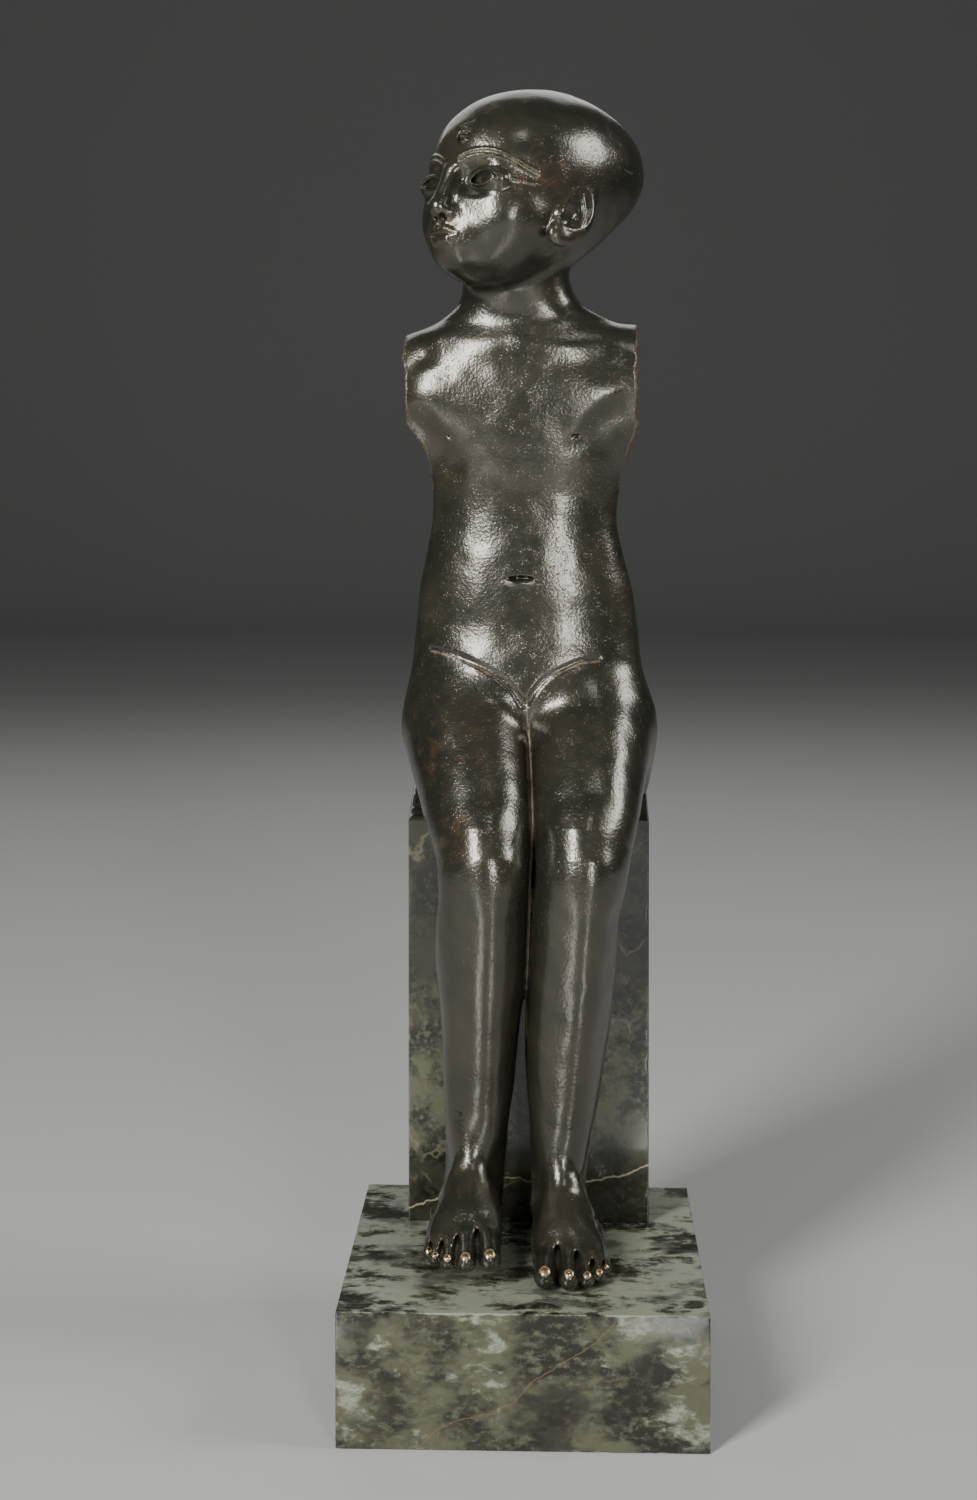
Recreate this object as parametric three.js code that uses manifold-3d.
// A seated bronze child, shaven-headed, both arms lost at the shoulders, on a tall stone seat
// block that stands on a square stone slab. Millimetres, +Z up, the child facing -Y, and the
// origin in the middle of the slab's underside.
import * as THREE from 'three';
import { mergeVertices } from 'three/addons/utils/BufferGeometryUtils.js';
import Module from 'manifold-3d';

// Stone slab and seat block. The top of the seat rises towards the back.
const SLAB_SIDE = 68;
const SLAB_HEIGHT = 25;
const SEAT_WIDTH = 48.8;
const SEAT_MIDDLE_X = 0.5;
const SEAT_FRONT_Y = 12.4;
const SEAT_BACK_Y = 33;
const SEAT_TOP_FRONT_Z = 107;
const SEAT_TOP_BACK_Z = 112.5;

// Bedding gap between the bronze and the stone.
const GAP = 0.3;

// How square the oval sections are: 2 is an ellipse.
const TRUNK_FULLNESS = 2.35;
const THIGH_FULLNESS = 2.2;
const SHIN_FULLNESS = 2.15;
const FOOT_FULLNESS = 2.3;

// Trunk. The chest faces a little to the child's right, which is -X.
const TRUNK_YAW = 5;
const TRUNK_Y = 24;
// Outline of each lost arm's break, seen from the front: distance out from the trunk's middle
// and height. The break leans in towards the armpit.
const BREAK_RIGHT = [[25.7, 189], [25.2, 187.6], [22.5, 183.9], [20.5, 179.6], [19.4, 174.5]];
const BREAK_LEFT = [[23.1, 186], [22.2, 182.4], [20.6, 177.6], [19.8, 174.5]];
const SHOULDER_RIGHT = { middle: [-24, 24.4, 194.5], size: [7.6, 8.6, 13.5] };
const SHOULDER_LEFT = { middle: [22.6, 24.4, 194.5], size: [7.6, 8.6, 13.5] };

// Oval sections of the trunk, from under the hips up into the neck:
// height, sideways centre, half width, front, back.
const TRUNK = [
  [103, 0.8, 21.0, 20.5, 32.5],
  [111, 0.7, 24.2, 18.6, 35.2],
  [118, 0.5, 25.6, 16.6, 36.6],
  [125, 0.4, 25.8, 14.8, 37.0],
  [132, 0.2, 24.8, 13.4, 36.6],
  [139, 0.0, 23.7, 12.4, 35.8],
  [146, 0.0, 22.9, 11.9, 34.8],
  [153, -0.2, 22.1, 12.0, 33.8],
  [160, -0.4, 20.5, 12.6, 33.0],
  [167, -0.5, 19.2, 13.3, 32.4],
  [173, -0.2, 19.3, 13.3, 32.4],
  [180, 0.0, 20.4, 12.6, 33.0],
  [188, -0.4, 21.6, 11.9, 33.8],
  [196, -0.8, 22.6, 12.3, 34.2],
  [202, -0.8, 23.0, 13.8, 34.0],
  [206, -0.6, 20.6, 15.4, 33.6],
  [209, -0.8, 16.6, 15.6, 33.4],
  [212, -1.4, 12.8, 14.2, 33.4],
  [216, -2.0, 11.2, 12.4, 33.0],
  [226, -2.4, 10.8, 10.0, 31.6],
];

// Thighs slope down from the hips to the knees: distance along the thigh, sideways centre,
// half width, top, underside. The knees stand closer together than the hips.
const HIP = { right: [-12.6, 23.5, 125.5], left: [13.0, 23.5, 125.5] };
const KNEE = { right: [-7.9, -3.2, 103.2], left: [11.3, -3.2, 103.2] };
const KNEECAP_SIZE = [7.0, 6.0, 8.6];
const KNEECAP_FORWARD = 2.2;
const KNEECAP_RISE = 1;
const THIGH = [
  [-8, 0, 9.5, -9.5, 8.5],
  [0, 0, 12.9, -12.4, 11.5],
  [9, 0, 12.6, -12.4, 12.0],
  [18, 0, 11.6, -11.2, 11.2],
  [27, 0, 10.6, -9.8, 9.8],
  [36, 0, 9.6, -8.4, 8.0],
];

// Shins, by height: sideways centre, half width, front, back. The legs part below the calves.
const SHIN = {
  right: [
    [32, -10.6, 5.8, -2.2, 11.2],
    [37, -10.6, 6.0, -2.4, 11.2],
    [42, -10.1, 6.1, -2.0, 10.8],
    [48, -9.6, 6.4, -1.9, 10.6],
    [54, -9.4, 6.9, -2.4, 11.0],
    [61, -9.2, 7.4, -3.4, 11.3],
    [69, -8.9, 7.9, -4.6, 11.6],
    [77, -8.6, 8.9, -5.8, 11.8],
    [85, -8.5, 9.45, -7.0, 11.2],
    [93, -8.2, 9.45, -8.8, 9.6],
    [101, -8.0, 9.4, -10.8, 7.2],
    [107, -8.0, 9.3, -11.0, 5.0],
  ],
  left: [
    [32, 6.8, 5.8, -2.2, 11.2],
    [37, 6.8, 5.9, -2.4, 11.2],
    [42, 6.9, 6.0, -2.0, 10.8],
    [48, 7.3, 6.5, -1.9, 10.6],
    [54, 7.6, 7.2, -2.4, 11.0],
    [61, 7.9, 7.9, -3.4, 11.3],
    [69, 8.5, 8.5, -4.6, 11.6],
    [77, 9.05, 8.85, -5.8, 11.8],
    [85, 9.45, 8.95, -7.0, 11.2],
    [93, 9.7, 9.1, -8.8, 9.6],
    [101, 10.6, 9.3, -10.8, 7.2],
    [107, 11.2, 9.4, -11.0, 5.0],
  ],
};

// A foot, from the heel forward, measured from the ankle and the sole: distance forward,
// outward shift, half width, sole, instep.
const FOOT = [
  [-7.6, 0.0, 2.4, 4.5, 9.0],
  [-5.6, 0.0, 4.3, 1.8, 13.0],
  [-2.0, 0.1, 5.3, 1.0, 16.5],
  [3.0, 0.1, 5.8, 0.9, 18.0],
  [8.0, 0.4, 6.2, 0.9, 15.6],
  [13.0, 0.9, 6.7, 0.6, 11.4],
  [17.0, 1.4, 6.9, 0.3, 8.0],
  [20.5, 1.7, 6.9, 0.4, 5.6],
  [23.5, 1.7, 6.2, 0.9, 3.8],
];
const ANKLE_Y = 4.2;
const ANKLE_X = { right: -10.6, left: 6.9 };
const SOLE_Z = { right: 28.3, left: 25.3 };
// The right foot points a little inward.
const FOOT_TURN = { right: 3, left: 0 };
// Toes from the big one outward: outward shift of the tip, reach from the ankle, radius.
const TOES = [
  [-2.9, 29.0, 2.2],
  [1.8, 29.3, 2.1],
  [5.4, 27.6, 1.55],
  [7.2, 25.0, 1.4],
  [8.2, 21.6, 1.3],
];
const TOE_LENGTH = 8;
// A toe's root lies higher than its tip and nearer the foot's middle.
const TOE_RISE = 1.6;
const TOE_SPREAD = 0.86;

// Head, turned to the child's right and tilted back. Its own axes run forward, to the child's
// left and up, from the middle of the skull.
const HEAD_MIDDLE = [1.2, 23.5, 238.5];
const HEAD_YAW = 44;
const HEAD_PITCH = 15;
// The long skull lies flatter than the face.
const SKULL_DROP = 10;
const SKULL = { middle: [-1.6, 0, 2.4], size: [24.6, 18.0, 15.4] };
const NAPE = { middle: [-6.0, 0, -3.5], size: [12.6, 12.6, 10.4] };
const LOWER_HEAD = { middle: [4.5, 0, -8], size: [18.6, 15.0, 14.5] };
const JAW = { middle: [13.2, 0, -16.8], size: [9.4, 9.8, 8.0] };
const CROWN_BOSS = { middle: [-2, 0, 17.0], size: [5.2, 5.2, 1.0] };

// Face, on the usual thirds: brow to nose tip to chin.
const BROW_UP = 0.6;
const EYE_UP = -3.2;
const NOSE_UP = -11.6;
const MOUTH_UP = -16;
const CHIN_UP = -21.2;
const EYE_SIDE = 7.2;
// Each brow as a row of places: sideways, above the brow line.
const BROW = [[2.6, 0], [6.2, 1.5], [10.2, 1.0], [13.2, -1.4]];
const BROW_RADIUS = 0.75;
const BROW_SUNK = -0.1;
// Lumps set on the face's surface: how far their middle stands proud of it, and their size.
const SOCKET = { proud: 1.3, size: [2.9, 5.4, 2.9] };
const EYEBALL = { proud: -2.6, size: [2.5, 4.1, 2.0] };
const UPPER_LIP = { proud: -0.9, size: [1.9, 4.0, 1.2] };
const LOWER_LIP = { proud: -1.0, size: [1.9, 3.3, 1.2] };
const CHIN = { proud: -3.0, size: [4.0, 4.4, 3.4] };
// Nose ridge from under the brows to the tip, and the wings beside the tip.
const NOSE_TOP = { below: 2.5, proud: -0.5, radius: 1.4 };
const NOSE_TIP = { above: 1.2, proud: 1.9, radius: 1.9 };
const WING_BACK = { side: 2.4, proud: -0.6 };
const WING_FRONT = { side: 1.4, proud: 0.9 };
const WING_ABOVE = 0.4;
const WING_RADIUS = 1.3;

// Ears, leaning back and standing off the head, each a thin shell with a bowl in it.
const EAR_MIDDLE = [2.2, 16.4, -9.4];
const EAR_SIZE = [4.5, 1.8, 7.4];
const EAR_BOWL_MIDDLE = [0.2, 1.8, 1.0];
const EAR_BOWL_SIZE = [2.6, 1.5, 4.4];
const EAR_LEAN = 26;
const EAR_FLARE = 16;

// What is left of the side lock on the child's right, and a small broken stub on the forehead.
const LOCK_STUMP = { middle: [7.5, -8.6, 9.0], size: [7.0, 5.5, 4.6] };
const STUB_UP = 7.6;
const STUB_SIZE = [1.3, 1.5, 2.1];

// Softness of the joins between forms, from the broad masses down to the features.
const SHOULDER_SOFTNESS = 6;
const HIP_SOFTNESS = 4;
const KNEE_SOFTNESS = 5;
const LEGS_SOFTNESS = 0.8;
const HEAD_SOFTNESS = 8;
const SOCKET_SOFTNESS = 2;
const NOSE_SOFTNESS = 1.5;
const MASK_SOFTNESS = 2.5;
const FEATURE_SOFTNESS = 1;
const BROW_SOFTNESS = 0.4;
const EAR_SOFTNESS = 0.8;

// How many points go round a ring of each skin, and how many rounds of rings the head and an
// ear have. The head's rings crowd together over the face.
const BODY_POINTS = 36;
const LEG_POINTS = 18;
const FOOT_POINTS = 14;
const HEAD_POINTS = 46;
const HEAD_ROUNDS = 40;
const EAR_POINTS = 14;
const EAR_ROUNDS = 12;
const HEAD_CROWDING = { turn: 0.55, lift: 0.4, about: -0.25 };
const NO_CROWDING = { turn: 0, lift: 0, about: 0 };

const BRONZE = new THREE.MeshStandardMaterial({
  name: 'patinated bronze', color: 0x2b2a22, roughness: 0.32, metalness: 0.85,
});
const STONE = new THREE.MeshStandardMaterial({
  name: 'serpentine', color: 0x2f3a2c, roughness: 0.35, metalness: 0,
});

const wasm = await Module();
wasm.setup();

const radians = THREE.MathUtils.degToRad;
const vector = (xyz) => new THREE.Vector3(...xyz);

// A form is a function of a point: negative inside, positive outside, in about millimetres.

// The rows' values at one place, on a smooth curve through the rows.
function between(rows, place) {
  let low = 0;
  while (low < rows.length - 2 && place > rows[low + 1][0]) {
    low += 1;
  }
  const high = low + 1;
  const span = rows[high][0] - rows[low][0];
  const t = THREE.MathUtils.clamp((place - rows[low][0]) / span, 0, 1);
  const slope = (index, column) => {
    const before = rows[Math.max(index - 1, 0)];
    const after = rows[Math.min(index + 1, rows.length - 1)];
    return (after[column] - before[column]) / (after[0] - before[0]);
  };
  return rows[low].map((value, column) => {
    const rise = rows[high][column] - value;
    const leave = slope(low, column) * span;
    const arrive = slope(high, column) * span;
    return value + leave * t
      + (3 * rise - 2 * leave - arrive) * t * t
      + (leave + arrive - 2 * rise) * t * t * t;
  });
}

// Oval sections stacked along the third axis of a frame, widest along its first axis.
function stack(frame, rows, fullness) {
  const toLocal = frame.clone().invert();
  const first = rows[0][0];
  const last = rows[rows.length - 1][0];
  return (point) => {
    const local = point.clone().applyMatrix4(toLocal);
    const [, middle, halfWidth, front, back] = between(rows, local.z);
    const halfDepth = (back - front) / 2;
    const across = Math.abs(local.x - middle) / halfWidth;
    const along = Math.abs(local.y - (front + back) / 2) / halfDepth;
    const reach = Math.max((across ** fullness + along ** fullness) ** (1 / fullness), 1e-6);
    const steepness = Math.hypot(
      (across / reach) ** (fullness - 1) / halfWidth,
      (along / reach) ** (fullness - 1) / halfDepth,
    );
    return Math.max((reach - 1) / steepness, first - local.z, local.z - last);
  };
}

function ellipsoid(frame, { middle, size }) {
  const toLocal = frame.clone().multiply(new THREE.Matrix4().makeTranslation(...middle)).invert();
  const radii = vector(size);
  return (point) => {
    const local = point.clone().applyMatrix4(toLocal).divide(radii);
    const reach = Math.max(local.length(), 1e-6);
    return (reach * (reach - 1)) / local.divide(radii).length();
  };
}

// A rod with round ends whose radius changes evenly from one end to the other.
function rod(frame, from, to, fromRadius, toRadius) {
  const toLocal = frame.clone().invert();
  const start = vector(from);
  const run = vector(to).sub(start);
  return (point) => {
    const offset = point.clone().applyMatrix4(toLocal).sub(start);
    const t = THREE.MathUtils.clamp(offset.dot(run) / run.lengthSq(), 0, 1);
    return offset.addScaledVector(run, -t).length() - THREE.MathUtils.lerp(fromRadius, toRadius, t);
  };
}

// Joins forms with a fillet about as wide as the softness.
function join(softness, ...forms) {
  return (point) => forms.map((form) => form(point)).reduce((a, b) => {
    const overlap = Math.max(softness - Math.abs(a - b), 0);
    return Math.min(a, b) - (overlap * overlap) / (4 * softness);
  });
}

// Cuts a form away with a softened edge.
function carve(softness, form, cutter) {
  return (point) => {
    const a = -form(point);
    const b = cutter(point);
    const overlap = Math.max(softness - Math.abs(a - b), 0);
    return -(Math.min(a, b) - (overlap * overlap) / (4 * softness));
  };
}

// Where a ray from inside a form leaves it.
function edgeOf(form, from, direction, farthest = 60) {
  const at = (distance) => from.clone().addScaledVector(direction, distance);
  const step = 0.6;
  let outside = step;
  while (outside < farthest && form(at(outside)) < 0) {
    outside += step;
  }
  let inside = outside - step;
  for (let halving = 0; halving < 12; halving += 1) {
    const middle = (inside + outside) / 2;
    if (form(at(middle)) < 0) {
      inside = middle;
    } else {
      outside = middle;
    }
  }
  return at(outside);
}

// A closed skin over rings of points, with one point closing each end.
function skin(rings, firstEnd, lastEnd) {
  const count = rings[0].length;
  const points = [...rings.flat(), firstEnd, lastEnd];
  const faces = [];
  for (let ring = 0; ring < rings.length - 1; ring += 1) {
    for (let i = 0; i < count; i += 1) {
      const next = (i + 1) % count;
      const [a, b] = [ring * count + i, ring * count + next];
      faces.push(a, b, a + count, b, b + count, a + count);
    }
  }
  const top = (rings.length - 1) * count;
  for (let i = 0; i < count; i += 1) {
    const next = (i + 1) % count;
    faces.push(points.length - 2, next, i);
    faces.push(points.length - 1, top + i, top + next);
  }
  const geometry = new THREE.BufferGeometry().setFromPoints(points);
  geometry.setIndex(faces);
  return geometry;
}

// Rings on planes that follow a bent spine. A spine row is height, x, y and the plane's tilt.
function skinAlong(form, spine, heights, count) {
  const rings = heights.map((height) => {
    const [z, x, y, tilt] = between(spine, height);
    const middle = new THREE.Vector3(x, y, z);
    const angle = radians(tilt);
    return Array.from({ length: count }, (_, i) => {
      const turn = (2 * Math.PI * i) / count - Math.PI / 2;
      const back = Math.sin(turn);
      const direction = new THREE.Vector3(
        Math.cos(turn), back * Math.cos(angle), -back * Math.sin(angle),
      );
      return edgeOf(form, middle, direction);
    });
  });
  const end = (height) => {
    const [z, x, y] = between(spine, height);
    return new THREE.Vector3(x, y, z);
  };
  return skin(rings, end(heights[0]), end(heights[heights.length - 1]));
}

// Rings of rays from one inner point of a frame. They crowd together in front, where the turn
// is nought, and about one lift above or below the level.
function skinAround(form, frame, middle, rounds, count, crowding) {
  const from = vector(middle).applyMatrix4(frame);
  const ray = (turn, lift) => edgeOf(form, from, new THREE.Vector3(
    Math.cos(turn) * Math.cos(lift), Math.sin(turn) * Math.cos(lift), Math.sin(lift),
  ).transformDirection(frame));
  const crowdLift = (lift) => crowding.lift * Math.sin(2 * (lift - crowding.about)) * 0.5;
  const rings = Array.from({ length: rounds - 1 }, (_, ring) => {
    const even = Math.PI * ((ring + 1) / rounds - 0.5);
    const lift = even - crowdLift(even) + crowdLift(Math.PI / 2);
    return Array.from({ length: count }, (_, i) => {
      const turn = (2 * Math.PI * i) / count;
      return ray(turn - crowding.turn * Math.sin(turn), lift);
    });
  });
  return skin(rings, ray(0, -Math.PI / 2), ray(0, Math.PI / 2));
}

function solid(geometry) {
  const plain = geometry.clone();
  plain.deleteAttribute('normal');
  plain.deleteAttribute('uv');
  const merged = mergeVertices(plain, 1e-4);
  return new wasm.Manifold(new wasm.Mesh({
    numProp: 3,
    vertProperties: new Float32Array(merged.getAttribute('position').array),
    triVerts: new Uint32Array(merged.getIndex().array),
  }));
}

function geometryOf(body) {
  const mesh = body.getMesh();
  const geometry = new THREE.BufferGeometry();
  geometry.setAttribute('position', new THREE.BufferAttribute(mesh.vertProperties, 3));
  geometry.setIndex(new THREE.BufferAttribute(mesh.triVerts, 1));
  geometry.computeVertexNormals();
  return geometry;
}

// A side view drawn in Y and Z, extruded to a width along X.
function sideProfile(outline, width, middleX) {
  const shape = new THREE.Shape(outline.map(([y, z]) => new THREE.Vector2(y, z)));
  const geometry = new THREE.ExtrudeGeometry(shape, { depth: width, bevelEnabled: false });
  geometry.applyMatrix4(new THREE.Matrix4().makeBasis(
    new THREE.Vector3(0, 1, 0), new THREE.Vector3(0, 0, 1), new THREE.Vector3(1, 0, 0),
  ));
  return geometry.translate(middleX - width / 2, 0, 0);
}

const world = new THREE.Matrix4();

// Frame of the trunk: side, back and up, turned about the middle of the waist.
const trunkFrame = new THREE.Matrix4().makeTranslation(0, TRUNK_Y, 0)
  .multiply(new THREE.Matrix4().makeRotationZ(-radians(TRUNK_YAW)))
  .multiply(new THREE.Matrix4().makeTranslation(0, -TRUNK_Y, 0));

function thighForm(side) {
  const hip = vector(HIP[side]);
  const down = vector(KNEE[side]).sub(hip).normalize();
  const across = new THREE.Vector3(1, 0, 0).addScaledVector(down, -down.x).normalize();
  const under = new THREE.Vector3().crossVectors(down, across);
  const frame = new THREE.Matrix4().makeBasis(across, under, down).setPosition(hip);
  return stack(frame, THIGH, THIGH_FULLNESS);
}

function legForm(side) {
  const [x, y, z] = KNEE[side];
  const kneecap = { middle: [x, y - KNEECAP_FORWARD, z + KNEECAP_RISE], size: KNEECAP_SIZE };
  return join(
    KNEE_SOFTNESS,
    thighForm(side),
    stack(world, SHIN[side], SHIN_FULLNESS),
    ellipsoid(world, kneecap),
  );
}

const legsForm = join(LEGS_SOFTNESS, legForm('right'), legForm('left'));
const trunkForm = join(
  SHOULDER_SOFTNESS,
  stack(trunkFrame, TRUNK, TRUNK_FULLNESS),
  ellipsoid(trunkFrame, SHOULDER_RIGHT),
  ellipsoid(trunkFrame, SHOULDER_LEFT),
);
const bodyForm = join(HIP_SOFTNESS, trunkForm, legsForm);

// Spine of the trunk and both thighs together: height, x, y, tilt of the ring's plane.
const SPINE = [
  [80, 0.5, 2.8, 0],
  [88, 0.8, 1.6, 0],
  [96, 1.1, 0.2, 6],
  [102, 1.4, 0.0, 22],
  [108, 1.6, 4.5, 42],
  [115, 1.0, 12.0, 48],
  [122, 0.5, 19.0, 42],
  [130, 0.1, 22.8, 24],
  [138, 0.0, 24.0, 8],
  [146, 0.0, 23.8, 0],
  [205, -1.0, 24.0, 0],
  [222, -2.3, 21.5, 0],
];
const BODY_RINGS = [
  80, 83, 86.5, 90, 94, 97.5, 100.5, 103, 105.5, 108, 111, 114, 117, 120, 123, 126.5, 130, 134,
  138, 142.5, 147.5, 153, 159, 165, 171, 177, 180, 182.5, 186.5, 190.5, 194.5, 198.5, 202, 204.5,
  206.5, 208.5, 211, 214, 217.5, 222,
];
const LEG_RINGS = [36, 39, 42, 46, 50, 55, 60, 65, 70, 75, 80];

// A leg below the split. A short cross rod inside it reaches up into the leg above, so that the
// two are one body.
const CROSS_ROD_RADIUS = 6;
const CROSS_ROD_LENGTH = 6;

function lowerLeg(side) {
  const shin = stack(world, SHIN[side], SHIN_FULLNESS);
  const middle = (height) => {
    const [, x, , front, back] = between(SHIN[side], height);
    return [height, x, front, back];
  };
  const spine = LEG_RINGS.map((height) => {
    const [z, x, front, back] = middle(height);
    return [z, x, (front + back) / 2, 0];
  });
  const leg = skinAlong(shin, spine, LEG_RINGS, LEG_POINTS);
  const [, x, front, back] = middle(BODY_RINGS[0]);
  const crossRod = new THREE.CylinderGeometry(
    CROSS_ROD_RADIUS, CROSS_ROD_RADIUS, CROSS_ROD_LENGTH, 16,
  );
  crossRod.rotateX(Math.PI / 2);
  crossRod.translate(x, (front + back) / 2, BODY_RINGS[0]);
  return solid(leg).add(solid(crossRod));
}

// Where along a foot its rings stand.
const FOOT_RINGS = [-7.2, -6, -4, -1, 2.5, 6, 9.5, 13, 16, 18.5, 20.5, 22.5];

function foot(side) {
  const outward = side === 'right' ? -1 : 1;
  // The foot's frame runs outward, up and forward from below the ankle.
  const frame = new THREE.Matrix4().makeBasis(
    new THREE.Vector3(1, 0, 0), new THREE.Vector3(0, 0, 1), new THREE.Vector3(0, -1, 0),
  ).premultiply(new THREE.Matrix4().makeRotationZ(radians(FOOT_TURN[side])))
    .setPosition(ANKLE_X[side], ANKLE_Y, SOLE_Z[side]);
  const rows = FOOT.map(([forward, out, half, sole, instep]) => (
    [forward, out * outward, half, sole, instep]
  ));
  const form = stack(frame, rows, FOOT_FULLNESS);
  const middleOf = (place) => {
    const [forward, out, , sole, instep] = between(rows, place);
    return new THREE.Vector3(out, (sole + instep) / 2, forward).applyMatrix4(frame);
  };
  const rings = FOOT_RINGS.map((place) => Array.from({ length: FOOT_POINTS }, (_, i) => {
    const turn = (2 * Math.PI * i) / FOOT_POINTS;
    return edgeOf(form, middleOf(place), new THREE.Vector3(
      Math.cos(turn), Math.sin(turn), 0,
    ).transformDirection(frame));
  }));
  const [heelEnd] = FOOT_RINGS;
  const [toeEnd] = FOOT_RINGS.slice(-1);
  let body = solid(skin(rings, middleOf(heelEnd), middleOf(toeEnd)));
  for (const [out, reach, radius] of TOES) {
    const tip = new THREE.Vector3(out * outward, radius, reach - radius).applyMatrix4(frame);
    const root = new THREE.Vector3(
      out * outward * TOE_SPREAD, radius + TOE_RISE, reach - radius - TOE_LENGTH,
    ).applyMatrix4(frame);
    const length = tip.distanceTo(root);
    const toe = new THREE.CapsuleGeometry(radius, length, 2, 8);
    const direction = tip.clone().sub(root).normalize();
    toe.applyQuaternion(new THREE.Quaternion().setFromUnitVectors(
      new THREE.Vector3(0, 1, 0), direction,
    ));
    toe.translate(...tip.clone().add(root).multiplyScalar(0.5));
    body = body.add(solid(toe));
  }
  return body;
}

// Frame of the head: forward, to the child's left, up.
const headFrame = new THREE.Matrix4().makeTranslation(...HEAD_MIDDLE)
  .multiply(new THREE.Matrix4().makeRotationZ(-Math.PI / 2 - radians(HEAD_YAW)))
  .multiply(new THREE.Matrix4().makeRotationY(-radians(HEAD_PITCH)));

const skullFrame = headFrame.clone()
  .multiply(new THREE.Matrix4().makeRotationY(radians(SKULL_DROP)));
const bareHead = join(
  HEAD_SOFTNESS,
  ellipsoid(skullFrame, SKULL),
  ellipsoid(headFrame, NAPE),
  ellipsoid(headFrame, LOWER_HEAD),
  ellipsoid(headFrame, JAW),
);

// The place on the bare head straight in front of a point between the ears.
function onFace(out, up, proud = 0) {
  const start = new THREE.Vector3(0, out, up).applyMatrix4(headFrame);
  const forward = new THREE.Vector3(1, 0, 0).transformDirection(headFrame);
  const spot = edgeOf(bareHead, start, forward).applyMatrix4(headFrame.clone().invert());
  return [spot.x + proud, out, up];
}

// A lump on the face, out and up from the middle of the head.
function lump(out, up, { proud, size }) {
  return ellipsoid(headFrame, { middle: onFace(out, up, proud), size });
}

// A raised band along one brow.
function brow(side) {
  const places = BROW.map(([out, rise]) => onFace(side * out, BROW_UP + rise, BROW_SUNK));
  return join(BROW_SOFTNESS, ...places.slice(1).map((place, i) => (
    rod(headFrame, places[i], place, BROW_RADIUS, BROW_RADIUS)
  )));
}

const socket = (side) => lump(side * EYE_SIDE, EYE_UP, SOCKET);
const eyeball = (side) => lump(side * EYE_SIDE, EYE_UP, EYEBALL);
const wing = (side) => rod(
  headFrame,
  onFace(side * WING_BACK.side, NOSE_UP + WING_ABOVE, WING_BACK.proud),
  onFace(side * WING_FRONT.side, NOSE_UP + WING_ABOVE, WING_FRONT.proud),
  WING_RADIUS,
  WING_RADIUS,
);
const ridge = rod(
  headFrame,
  onFace(0, BROW_UP - NOSE_TOP.below, NOSE_TOP.proud),
  onFace(0, NOSE_UP + NOSE_TIP.above, NOSE_TIP.proud),
  NOSE_TOP.radius,
  NOSE_TIP.radius,
);

const socketed = carve(SOCKET_SOFTNESS, carve(SOCKET_SOFTNESS, bareHead, socket(1)), socket(-1));
const nose = join(NOSE_SOFTNESS, ridge, wing(1), wing(-1));
const headForm = join(
  FEATURE_SOFTNESS,
  join(MASK_SOFTNESS, socketed, nose, lump(0, CHIN_UP + 1.4, CHIN)),
  eyeball(1),
  eyeball(-1),
  brow(1),
  brow(-1),
  lump(0, MOUTH_UP + 1.1, UPPER_LIP),
  lump(0, MOUTH_UP - 1.3, LOWER_LIP),
  ellipsoid(headFrame, CROWN_BOSS),
  ellipsoid(headFrame, LOCK_STUMP),
  lump(0, STUB_UP, { proud: 0, size: STUB_SIZE }),
);

function ear(side) {
  const [forward, out, up] = EAR_MIDDLE;
  const frame = headFrame.clone()
    .multiply(new THREE.Matrix4().makeTranslation(forward, side * out, up))
    .multiply(new THREE.Matrix4().makeRotationY(-radians(EAR_LEAN)))
    .multiply(new THREE.Matrix4().makeRotationZ(-side * radians(EAR_FLARE)));
  const [bowlForward, bowlOut, bowlUp] = EAR_BOWL_MIDDLE;
  const shell = ellipsoid(frame, { middle: [0, 0, 0], size: EAR_SIZE });
  const bowl = ellipsoid(frame, {
    middle: [bowlForward, side * bowlOut, bowlUp],
    size: EAR_BOWL_SIZE,
  });
  // The rays start behind the bowl's floor.
  const behindBowl = [0, -side * EAR_SIZE[1] / 2, 0];
  const form = carve(EAR_SOFTNESS, shell, bowl);
  return solid(skinAround(form, frame, behindBowl, EAR_ROUNDS, EAR_POINTS, NO_CROWDING));
}

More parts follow.
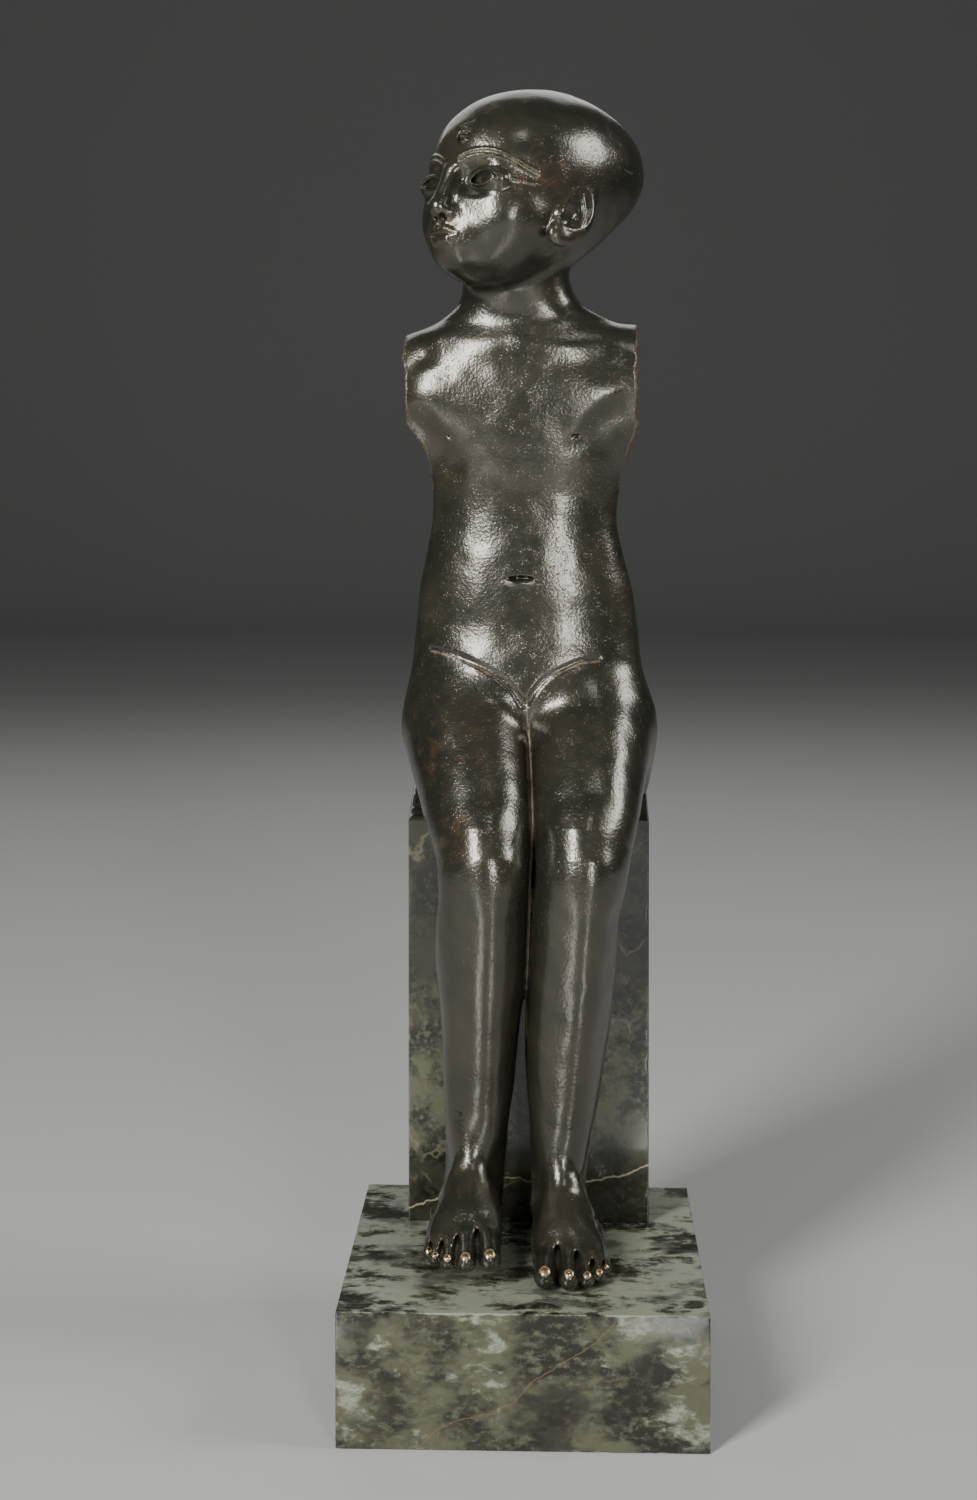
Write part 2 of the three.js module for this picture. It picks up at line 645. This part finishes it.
// Everything outside one arm's break.
function breakCutter(outline, side) {
  const [top] = outline;
  const [armpit] = outline.slice(-1);
  const far = 60;
  const high = 230;
  const depth = 80;
  const corners = [[top[0], high], ...outline, [far, armpit[1]], [far, high]];
  const shape = new THREE.Shape(corners.map(([out, z]) => new THREE.Vector2(side * out, z)));
  const geometry = new THREE.ExtrudeGeometry(shape, { depth, bevelEnabled: false });
  geometry.rotateX(Math.PI / 2);
  geometry.translate(0, TRUNK_Y + depth / 2, 0);
  return solid(geometry.applyMatrix4(trunkFrame));
}

// The room that the seat block takes out of the figure: its front and its sloping top, one
// bedding gap away, and everything behind and below.
function seatRoom() {
  const behind = 20;
  const floor = 60;
  const width = 120;
  const slope = (SEAT_TOP_BACK_Z - SEAT_TOP_FRONT_Z) / (SEAT_BACK_Y - SEAT_FRONT_Y);
  return solid(sideProfile([
    [SEAT_FRONT_Y - GAP, floor],
    [SEAT_BACK_Y + behind, floor],
    [SEAT_BACK_Y + behind, SEAT_TOP_BACK_Z + GAP + behind * slope],
    [SEAT_FRONT_Y - GAP, SEAT_TOP_FRONT_Z + GAP],
  ], width, SEAT_MIDDLE_X));
}

function figure() {
  const head = solid(skinAround(
    headForm, headFrame, [2, 0, -3], HEAD_ROUNDS, HEAD_POINTS, HEAD_CROWDING,
  ));
  return solid(skinAlong(bodyForm, SPINE, BODY_RINGS, BODY_POINTS))
    .subtract(breakCutter(BREAK_RIGHT, -1))
    .subtract(breakCutter(BREAK_LEFT, 1))
    .add(lowerLeg('right'))
    .add(lowerLeg('left'))
    .add(foot('right'))
    .add(foot('left'))
    .add(head)
    .add(ear(1))
    .add(ear(-1))
    .subtract(seatRoom());
}

const group = new THREE.Group();

function addPiece(name, geometry, material) {
  const mesh = new THREE.Mesh(geometry, material);
  mesh.name = name;
  group.add(mesh);
}

addPiece('figure', geometryOf(figure()), BRONZE);
addPiece('seat_block', sideProfile([
  [SEAT_FRONT_Y, SLAB_HEIGHT],
  [SEAT_BACK_Y, SLAB_HEIGHT],
  [SEAT_BACK_Y, SEAT_TOP_BACK_Z],
  [SEAT_FRONT_Y, SEAT_TOP_FRONT_Z],
], SEAT_WIDTH, SEAT_MIDDLE_X), STONE);
addPiece('base_slab', new THREE.BoxGeometry(SLAB_SIDE, SLAB_SIDE, SLAB_HEIGHT)
  .translate(0, 0, SLAB_HEIGHT / 2), STONE);

export default group;
